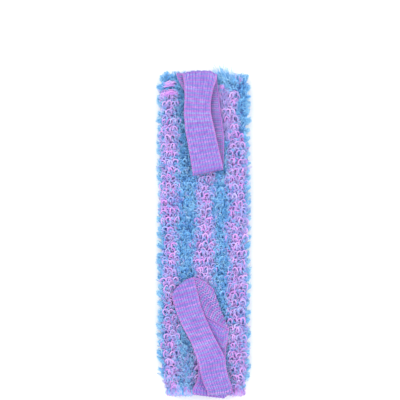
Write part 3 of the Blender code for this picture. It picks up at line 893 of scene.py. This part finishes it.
BOTTOM_BACK_LEG = [
    (31.6, -124.2, -2.0, -114.6, LOW),
    (30.8, -133.6, -2.6, -124.0, LOW),
    (28.8, -144.0, -3.2, -136.0, LOW),
    (27.6, -157.4, -4.8, -152.0, LOW),
    (26.0, -172.0, -6.6, -168.0, LOW),
    (26.6, -182.0, -7.2, -180.0, LOW),
    (28.0, -191.0, -8.6, -189.6, 24.4),
    (29.4, -198.0, -13.4, -195.6, 26.0),
    (30.0, -203.0, -14.6, -200.4, 26.2),
    (30.2, -TAB_INNER, -12.2, -TAB_INNER, 24.0),
    (30.2, -TAB_INNER, -12.2, -TAB_INNER, TAB_SPLIT_Z),
]


def before_folds(lines, *folds):
    """The lines of a folded-under part as they lie before the folds are made."""
    points = np.array([line_ends(*line) for line in lines])
    for fold in reversed(folds):
        points = fold.undo(points)
    return [(*left[:2], *right[:2], left[2], right[2]) for left, right in points]


BOTTOM_LEGS = (
    BOTTOM_FRONT_LEG
    + before_folds(BOTTOM_CROSSING, FIRST_FOLD)
    + before_folds(BOTTOM_BACK_LEG, FIRST_FOLD, SECOND_FOLD)
)

# How far out and how high each line across a seam part lies, below the tab's outer and inner layers
SEAM_OUTER = ((195.5, 7.8), (202.5, 7.6), (206.6, 8.6), (TAB_OUTER, 12.5), (TAB_OUTER, TAB_SPLIT_Z))
SEAM_INNER = ((TAB_INNER, TAB_SPLIT_Z), (204.4, 15.6), (202.4, 13.8), (195.5, 13.6))


def seam_lines(sign, profile, *sides):
    """A seam part's lines, which lie square to the strip. sides are their left and right x."""
    return [(left, sign * y, right, sign * y, z) for (y, z), (left, right) in zip(profile, sides)]


TOP_SEAM = (
    seam_lines(1, SEAM_OUTER, (13.0, -26.0), (14.0, -26.4), (15.5, -26.8), (16.2, -27.0), (16.4, -27.0)),
    seam_lines(1, SEAM_INNER, (16.2, -34.4), (15.8, -34.0), (15.0, -33.0), (14.0, -31.0)),
)
BOTTOM_SEAM = (
    seam_lines(-1, SEAM_OUTER, (6.0, 35.0), (5.6, 36.2), (5.2, 37.0), (5.0, 37.4), (5.0, 37.4)),
    seam_lines(-1, SEAM_INNER, (30.2, -12.2), (30.0, -12.6), (29.4, -14.2), (28.6, -13.0)),
)


def top_arch(u):
    """How the top handle's upper edge falls away towards its two corners."""
    left = np.clip((u - 0.62) / 0.38, 0, 1) ** 2 * 4.0
    right = np.clip((0.25 - u) / 0.25, 0, 1) ** 2 * 6.0
    return -(left + right)


def bottom_arch(u):
    """How the bottom handle's lower edge rises: a little everywhere, and more towards its corners."""
    left = np.clip((0.2 - u) / 0.2, 0, 1) ** 2 * 1.0
    right = np.clip((u - 0.72) / 0.28, 0, 1) ** 2 * 3.4
    return left + right + 3.0


HANDLES = {
    "top": dict(
        sign=1, legs=TOP_LEGS, folds=(), arch=top_arch,
        seam=TOP_SEAM, stitches=11, pitch=2.5, flat_width=37.0,
        nodes=("top_handle_upper_leg", "top_handle_lower_leg", "top_handle_fold")),
    "bottom": dict(
        sign=-1, legs=BOTTOM_LEGS, folds=(FIRST_FOLD, SECOND_FOLD), arch=bottom_arch,
        seam=BOTTOM_SEAM, stitches=10, pitch=2.75, flat_width=33.0,
        nodes=("bottom_handle_front_leg", "bottom_handle_back_leg", "bottom_handle_fold")),
}


def make_handle(end, seed):
    """One strap handle: knitted yarn over a thin cloth for its legs and for its seam part at the end seam,
    with the thread across its root.
    """
    handle = HANDLES[end]
    sign = handle["sign"]
    tab = f"{end}_tab"
    tab_length = FOLD_Z - TAB_SPLIT_Z
    leg_surface = StrapSurface(
        handle["legs"], gather=(tab_length, 15.0, 0.6, 6),
        arch=(tab_length + 2.0, 15.0, handle["arch"]), folds=handle["folds"])
    seam_surfaces = [
        StrapSurface(lines, crown=0.2, gather=(8.0, 10.0, 0.6, 6), arch=arch)
        for lines, arch in zip(handle["seam"], ((24.0, 12.0, handle["arch"]), None))]
    # Where each bend starts and ends, on the two sides of its joint's axis
    fold_reach = (
        (0, sign * (SEAM_Y + 2.0) * MM, (FOLD_Z - 5.6) * MM),
        (0, sign * (SEAM_Y - 7.2) * MM, (FOLD_Z + 3.4) * MM))
    seam_reach = (
        (0, sign * (SEAM_Y - 4.2) * MM, (SEAM_Z - 5.0) * MM),
        (0, sign * (SEAM_Y + 2.4) * MM, (SEAM_Z + 5.0) * MM))
    for part, surfaces, bodies, reach, nodes in (
        ("strap", [leg_surface], (tab, f"{end}_handle"), fold_reach, handle["nodes"]),
        ("seam", seam_surfaces, (STRIPS[end], tab), seam_reach, (f"{end}_handle_tab",)),
    ):
        yarn = knit_yarns(f"{end}_{part}_knit", surfaces, handle["stitches"], handle["pitch"], seed)
        cloth = strap_cloth(f"{end}_{part}_cloth", surfaces)
        for piece in (yarn, cloth):
            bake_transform(piece)
        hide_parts(*nodes)
        if part == "seam":
            thread = tab_thread(end, surfaces[0])
            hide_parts(f"{end}_tab_stitches")
            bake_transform(thread)


# ---- ground cloth, hems and threads

CLOTH_STEP = 2.0             # spacing of the ground cloth's rows
CLOTH_INSET = 0.5            # how far it stays inside the sleeve's block
CLOTH_GAP = 0.1              # half of the gap where its two halves meet
HEM_TURNS = 34               # turns of each overlocking yarn around a hem
HANGING_DENSITY = 7          # loops over the bottom hem for each millimetre
HANGING_END_Y = -208.2       # and where they end
GATHER_STRANDS = 14
TUFT_STRANDS = 190
LOOSE_STEPS = np.linspace(0.0, 1.0, 13)

# Bunches of yarn beside the handles' roots: left and right x, y, z and the yarn's place in its piece
GATHERS = {
    "top": (
        (-53.0, -35.0, 191.0, 19.0, 0), (-50.0, -36.0, 180.5, 19.6, 3), (18.0, 28.0, 187.0, 19.0, 3)),
    "bottom": ((-30.0, -16.0, -198.0, 16.5, 0), (37.0, 50.0, -196.0, 16.8, 0)),
}


def ground_cloth(name, y_low, y_high):
    """The knitted tube that the loops stand on, lying flat, with its ribs and rounded sides."""
    ys = np.linspace(y_low, y_high, int((y_high - y_low) / CLOTH_STEP) + 1)
    left, right = (
        np.minimum(-EDGES[0], EDGES[-1]) - CLOTH_INSET - corner_inset(ys, side) for side in (-1, 1))
    share = np.linspace(-1.0, 1.0, 97)
    x = ((right - left) / 2)[:, None] + ((right + left) / 2)[:, None] * share[None, :]
    rounded = np.sqrt(np.clip(1 - np.clip((np.abs(share) - 0.97) / 0.03, 0, 1) ** 2, 0, 1))
    ribs = 0.16 * np.cos(TURN * x / 2.3) + 0.10 * np.cos(TURN * ys[:, None] / 4.1)
    thick = SLEEVE_HALF - CLOTH_INSET + ribs
    y = ys[:, None] + 0 * x
    over = np.stack([x, y, SLEEVE_MIDDLE + thick * rounded], axis=-1)
    under = np.stack([x, y, SLEEVE_MIDDLE - thick * rounded], axis=-1)[:, 1:-1]
    ring = np.concatenate([over, under[:, ::-1]], axis=1)
    rows, around = ring.shape[:2]
    index = np.arange(rows * around).reshape(rows, around)
    after = np.roll(index, -1, axis=1)
    walls = np.stack([index[:-1], after[:-1], after[1:], index[1:]], axis=-1).reshape(-1, 4)
    faces = [walls[:, ::-1]]
    columns = over.shape[1]
    for line, order in ((0, -1), (rows - 1, 1)):
        top = index[line, :columns]
        bottom = np.concatenate([top[:1], index[line, columns:][::-1], top[-1:]])
        quads = np.stack([top[:-1], top[1:], bottom[1:], bottom[:-1]], axis=-1)[1:-1]
        ends = np.stack([[top[0], top[1], bottom[1]], [top[-2], top[-1], bottom[-2]]])
        faces += [quads[:, ::order], ends[:, ::order]]
    return add_mesh(name, ring.reshape(-1, 3), faces, [MATERIALS["ground"]])


def end_hem(end, seed):
    """The rolled end of the tube, wrapped with overlocking yarn, and the zigzag thread that holds it."""
    rng = np.random.default_rng(seed)
    low, high = span(f"{end}_hem")
    middle, depth, height = (low + high) / 2, (high[1] - low[1]) / 2, (high[2] - low[2]) / 2
    hem = Strands(f"{end}_rolled_hem", "ground", "blue", "strap_pink")
    x = np.linspace(low[0] + 0.6, high[0] - 0.6, 90)
    wave = 0.3 * np.sin(x / 2.6) + 0.2 * np.sin(x / 1.1)
    core = np.stack([x, middle[1] + 0 * x, middle[2] + wave], axis=1)[None]
    ends = np.sqrt(np.clip(1 - np.abs(2 * (x - x[0]) / (x[-1] - x[0]) - 1) ** 16, 0.1, 1))[None]
    hem.add(core, UPWARD, (depth - 0.5) * ends, (height - 0.5) * ends, 0.5, sides=12)
    t = np.linspace(0.0, 1.0, HEM_TURNS * 12)
    for phase, material in ((0.0, 1), (0.35, 2), (0.7, 1)):
        angle = TURN * (HEM_TURNS * t + phase)
        path = np.stack([
            low[0] + 2 + (high[0] - low[0] - 4) * t,
            middle[1] + (depth - 0.35) * np.cos(angle),
            middle[2] + (height - 0.35) * np.sin(angle)], axis=1)
        facing = np.stack([0 * t, np.cos(angle), np.sin(angle)], axis=1)
        hem.add(path[None], facing[None], 0.36, 0.28, 0.5 + 0.1 * rng.normal(), material=material)
    rolled = hem.build()
    thread = hem_thread(end)
    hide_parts(f"{end}_hem")
    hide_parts(f"{end}_hem_stitches")
    for piece in (rolled, thread):
        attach(piece, STRIPS[end])


def zigzag(turns):
    """A soft zigzag between -1 and 1, with its shares along the seam."""
    share = np.linspace(0.0, 1.0, turns * 8 + 1)
    wave = 2 * np.abs(2 * (share * turns / 2 - np.floor(share * turns / 2 + 0.5))) - 1
    return share, np.sin(wave * math.pi / 2)


def sewing_thread(name, path, facing):
    thread = Strands(name, "thread")
    thread.add(path[None], facing[None], 0.32, 0.26, 0.5, sides=6)
    piece = thread.build()
    return piece


def hem_thread(end):
    """The thread that zigzags along the rolled end."""
    low, high = span(f"{end}_hem_stitches")
    share, wave = zigzag(24)
    x = low[0] + 0.4 + (high[0] - low[0] - 0.8) * share
    z = (low[2] + high[2]) / 2 + wave * ((high[2] - low[2]) / 2 - 0.35)
    path = np.stack([x, 0 * x + (low[1] + high[1]) / 2, z], axis=1)
    return sewing_thread(f"{end}_hem_thread", path, np.array([0.0, 1.0 if end == "top" else -1.0, 0.0]))


def tab_thread(end, surface):
    """The thread that zigzags across the strap's root and holds its two ends to the strip."""
    share, wave = zigzag(20)
    path, facing = surface.at(0.06 + 0.88 * share, 0.68 + 0.09 * wave, 0 * share + 0.85)
    return sewing_thread(f"{end}_tab_thread", path, facing)


def hanging_loops(rng, yarn, left, right, materials):
    """Loops of the bottom row that hang over the hem beside the handle, some in front and some behind."""
    count = int((right - left) * HANGING_DENSITY)
    front = rng.random(count) < 0.65
    base = np.stack([
        rng.uniform(left, right, count), rng.uniform(-200.5, -195.0, count),
        np.where(front, rng.uniform(12.5, 16.5, count), rng.uniform(6.0, 9.0, count))], axis=1)
    up = np.where(front, 1.0, -1.0)[:, None] * UPWARD
    turn = rng.normal(0.0, 0.35, count)
    lean = np.stack([np.sin(turn), -np.cos(turn), np.zeros(count)], axis=1)
    length = (base[:, 1] - HANGING_END_Y) * rng.uniform(0.85, 1.1, count)
    paths, facing, root_shade = loop_paths(
        rng, base, up, lean, length, rng.uniform(2.0, 4.4, count), tilts(rng, count, 40, 78, 10),
        rng.uniform(-1.2, 1.2, count), rng.uniform(0.4, 1.4, count), 11)
    paths[..., 2] = np.clip(paths[..., 2], LOWEST_YARN, HANGING_TOP)
    half = rng.uniform(0.30, 0.55, count)
    tone = tones(rng, count, 0.5, 0.2)
    yarn.add(paths, facing, half, half * 0.7, tone, root_shade * 0.5, 4, rng.choice(materials, count))


def gather(rng, yarn, left, right, y, z, material):
    """A bunch of yarn that lies across the strip, from left to right, with painted light on its +Y side and
    painted shade on its -Y side.
    """
    t = LOOSE_STEPS
    spread = rng.uniform(-3.0, 3.0, (GATHER_STRANDS, 1))
    lift = rng.uniform(-1.0, 1.0, (GATHER_STRANDS, 1)) + 2.2 * np.exp(-(spread / 2.0) ** 2)
    start = left + rng.uniform(-1.5, 3.0, (GATHER_STRANDS, 1))
    stop = right + rng.uniform(-3.0, 1.5, (GATHER_STRANDS, 1))
    x = start + (stop - start) * t
    bow = np.sin(math.pi * t)[None, :]
    waves = 0.5 * np.sin(TURN * (2 * t[None, :] + rng.random((GATHER_STRANDS, 1))))
    path = np.stack([
        x, y + spread + waves + 1.2 * bow + 0.12 * (x - (left + right) / 2),
        z + lift * bow + 1.5 * bow - 2.5], axis=-1)
    # painted light and shade: strands on the +Y side are lighter, those on the -Y side darker, as if the
    # roll were lit from +Y
    tone = np.clip(0.5 + spread[:, 0] / 6 + rng.normal(0, 0.1, GATHER_STRANDS), 0, 1)
    shade = np.clip(-spread / 4, 0, 0.8)
    yarn.add(path, UPWARD, rng.uniform(0.45, 0.75, GATHER_STRANDS), 0.4, tone, shade, 5, material)


def tuft(rng, yarn):
    """Stray yarn ends along the top edge, right of the handle: long blue ones beside it, and short ones
    at the corner, many of them pink."""
    t, count = LOOSE_STEPS, TUFT_STRANDS
    start = np.stack([
        rng.uniform(17, 50, count), rng.uniform(192, 199, count), rng.uniform(9, 19, count)], axis=1)
    turn = rng.normal(-0.35, 0.45, count)
    reach = 4.0 + rng.uniform(6, 19, count) * np.exp(-((start[:, 0] - 26) / 13) ** 2)
    heading = np.stack([np.sin(turn), np.cos(turn), rng.normal(0.1, 0.2, count)], axis=1)
    curl = rng.normal(0, 2.4, (count, 3))
    path = (
        start[:, None] + heading[:, None] * (reach[:, None] * t)[..., None]
        + curl[:, None] * (np.sin(2.6 * t) * t)[None, :, None])
    path[..., 2] = np.maximum(path[..., 2], LOWEST_YARN)
    taper = 0.42 * (1 - 0.5 * t)[None, :]
    corner_pink = (start[:, 0] > 40) & (rng.random(count) < 0.6)
    material = np.where(corner_pink, 0, rng.choice([1, 2], count))
    yarn.add(path, UPWARD, taper, taper, rng.uniform(0.3, 0.9, count), material=material)


def loose_yarn(name, end, seed):
    """Yarn at the end seam: pink gathers beside the handle's root and, at the top, a tuft of stray ends
    or, at the bottom, hanging loops."""
    rng = np.random.default_rng(seed)
    yarn = Strands(name, "pink", "blue", "fringe_blue", "magenta", "lilac", "haze")
    for place in GATHERS[end]:
        gather(rng, yarn, *place)
    if end == "top":
        tuft(rng, yarn)
    else:
        hanging_loops(rng, yarn, -46.0, -14.0, [0, 1, 1, 4, 5])
        hanging_loops(rng, yarn, 34.0, 51.0, [0, 0, 3, 4, 5])
    piece = yarn.build()
    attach(piece, STRIPS[end])


make_camera()
make_studio()
MATERIALS = {key: yarn_material(*yarn) for key, yarn in YARNS.items()}


def bend_over(piece):
    """Bakes the transform of a piece of the strip's upper or lower half into its mesh."""
    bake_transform(piece)


SPLIT_ROW = 20
HALVES = {"lower": range(0, SPLIT_ROW), "upper": range(SPLIT_ROW, ROWS)}
seed = 100
for half, rows in HALVES.items():
    for face in ("front", "back"):
        for column in COLUMNS:
            seed += 1
            make = pink_pile if column.startswith("pink") else blue_pile
            piece = make(f"{column}_{face}_loops_{half}", column, list(rows), face == "front", seed)
            bend_over(piece)
            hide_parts(f"{column}_pile_{face}_{half}")
            if half == "upper":
                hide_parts(f"{column}_pile_{face}_middle")
    for side in ("left", "right"):
        seed += 1
        piece = fringe(f"{side}_fringe_loops_{half}", side, list(rows), seed)
        bend_over(piece)
        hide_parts(f"edge_fringe_{side}_{half}")
        if half == "upper":
            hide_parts(f"edge_fringe_{side}_middle")

split_y = -HALF_LENGTH + SPLIT_ROW * ROW_PITCH
CLOTH_END = min(abs(HEM_LOW[1]), abs(HEM_HIGH[1])) - 2 * CLOTH_GAP
for half, y_low, y_high in (
    ("lower", -CLOTH_END, split_y - CLOTH_GAP),
    ("upper", split_y + CLOTH_GAP, CLOTH_END),
):
    cloth = ground_cloth(f"ground_cloth_{half}", y_low, y_high)
    bend_over(cloth)
    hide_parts(f"knitted_sleeve_{half}")
    if half == "upper":
        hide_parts("knitted_sleeve_middle")
for end, seed in (("top", 21), ("bottom", 22)):
    end_hem(end, seed)
    loose_yarn(f"{end}_loose_yarn", end, seed + 10)
    make_handle(end, seed + 20)
